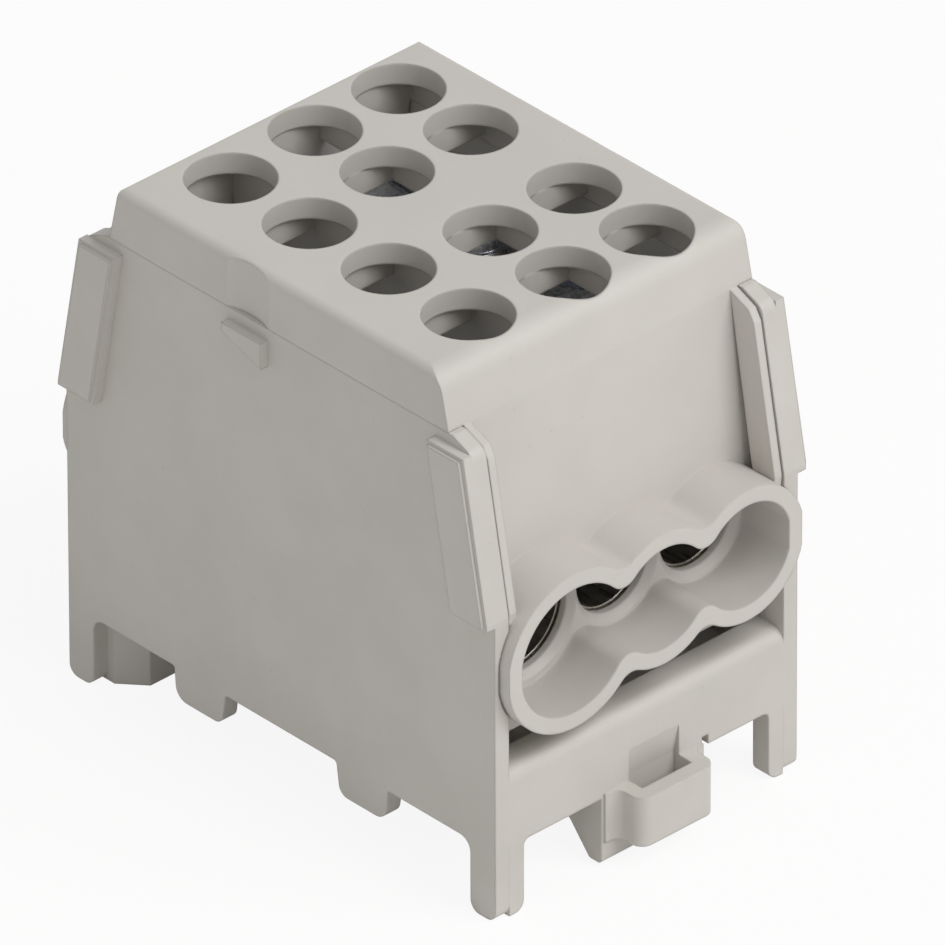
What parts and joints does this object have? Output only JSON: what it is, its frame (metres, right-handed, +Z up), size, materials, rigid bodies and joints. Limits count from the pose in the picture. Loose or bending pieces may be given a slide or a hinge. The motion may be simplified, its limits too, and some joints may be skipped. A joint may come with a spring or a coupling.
{
  "type": "power distribution block",
  "caption": "Rail-mounted power distribution block: grey moulded base and cover round a plated terminal block with through bores and clamping screws.",
  "frame": {"origin": "under the middle of the whole length and width, at the level of the feet", "axes": "+Z up from the feet to the cover, Y along the conductors with the release loop at -Y, X across the block"},
  "size_m": [0.0354, 0.054, 0.0488],
  "materials": {
    "housing_plastic": "light grey moulded plastic, fine satin",
    "cover_plastic": "light grey moulded plastic, fine satin",
    "tinned_brass": "tin-plated",
    "zinc_screw": "zinc-plated steel"
  },
  "bodies": {
    "housing": {"base": "housing_plastic", "cover": "cover_plastic", "terminal_block": "tinned_brass"},
    "main_screw_1": {"main_screw_1": "zinc_screw"},
    "main_screw_2": {"main_screw_2": "zinc_screw"},
    "main_screw_3": {"main_screw_3": "zinc_screw"},
    "main_screw_4": {"main_screw_4": "zinc_screw"},
    "middle_screw_1": {"middle_screw_1": "zinc_screw"},
    "middle_screw_2": {"middle_screw_2": "zinc_screw"},
    "middle_screw_3": {"middle_screw_3": "zinc_screw"},
    "middle_screw_4": {"middle_screw_4": "zinc_screw"},
    "outer_screw_1": {"outer_screw_1": "zinc_screw"},
    "outer_screw_2": {"outer_screw_2": "zinc_screw"},
    "outer_screw_3": {"outer_screw_3": "zinc_screw"},
    "outer_screw_4": {"outer_screw_4": "zinc_screw"}
  },
  "joints": [
    {"name": "main_screw_1_travel", "type": "slide", "parent": "housing", "child": "main_screw_1", "axis": [0, 0, -1], "range_m": [0, 0.006]},
    {"name": "main_screw_2_travel", "type": "slide", "parent": "housing", "child": "main_screw_2", "axis": [0, 0, -1], "range_m": [0, 0.006]},
    {"name": "main_screw_3_travel", "type": "slide", "parent": "housing", "child": "main_screw_3", "axis": [0, 0, -1], "range_m": [0, 0.006]},
    {"name": "main_screw_4_travel", "type": "slide", "parent": "housing", "child": "main_screw_4", "axis": [0, 0, -1], "range_m": [0, 0.006]},
    {"name": "middle_screw_1_travel", "type": "slide", "parent": "housing", "child": "middle_screw_1", "axis": [0, 0, -1], "range_m": [0, 0.006]},
    {"name": "middle_screw_2_travel", "type": "slide", "parent": "housing", "child": "middle_screw_2", "axis": [0, 0, -1], "range_m": [0, 0.006]},
    {"name": "middle_screw_3_travel", "type": "slide", "parent": "housing", "child": "middle_screw_3", "axis": [0, 0, -1], "range_m": [0, 0.006]},
    {"name": "middle_screw_4_travel", "type": "slide", "parent": "housing", "child": "middle_screw_4", "axis": [0, 0, -1], "range_m": [0, 0.006]},
    {"name": "outer_screw_1_travel", "type": "slide", "parent": "housing", "child": "outer_screw_1", "axis": [0, 0, -1], "range_m": [0, 0.006]},
    {"name": "outer_screw_2_travel", "type": "slide", "parent": "housing", "child": "outer_screw_2", "axis": [0, 0, -1], "range_m": [0, 0.006]},
    {"name": "outer_screw_3_travel", "type": "slide", "parent": "housing", "child": "outer_screw_3", "axis": [0, 0, -1], "range_m": [0, 0.006]},
    {"name": "outer_screw_4_travel", "type": "slide", "parent": "housing", "child": "outer_screw_4", "axis": [0, 0, -1], "range_m": [0, 0.006]}
  ]
}
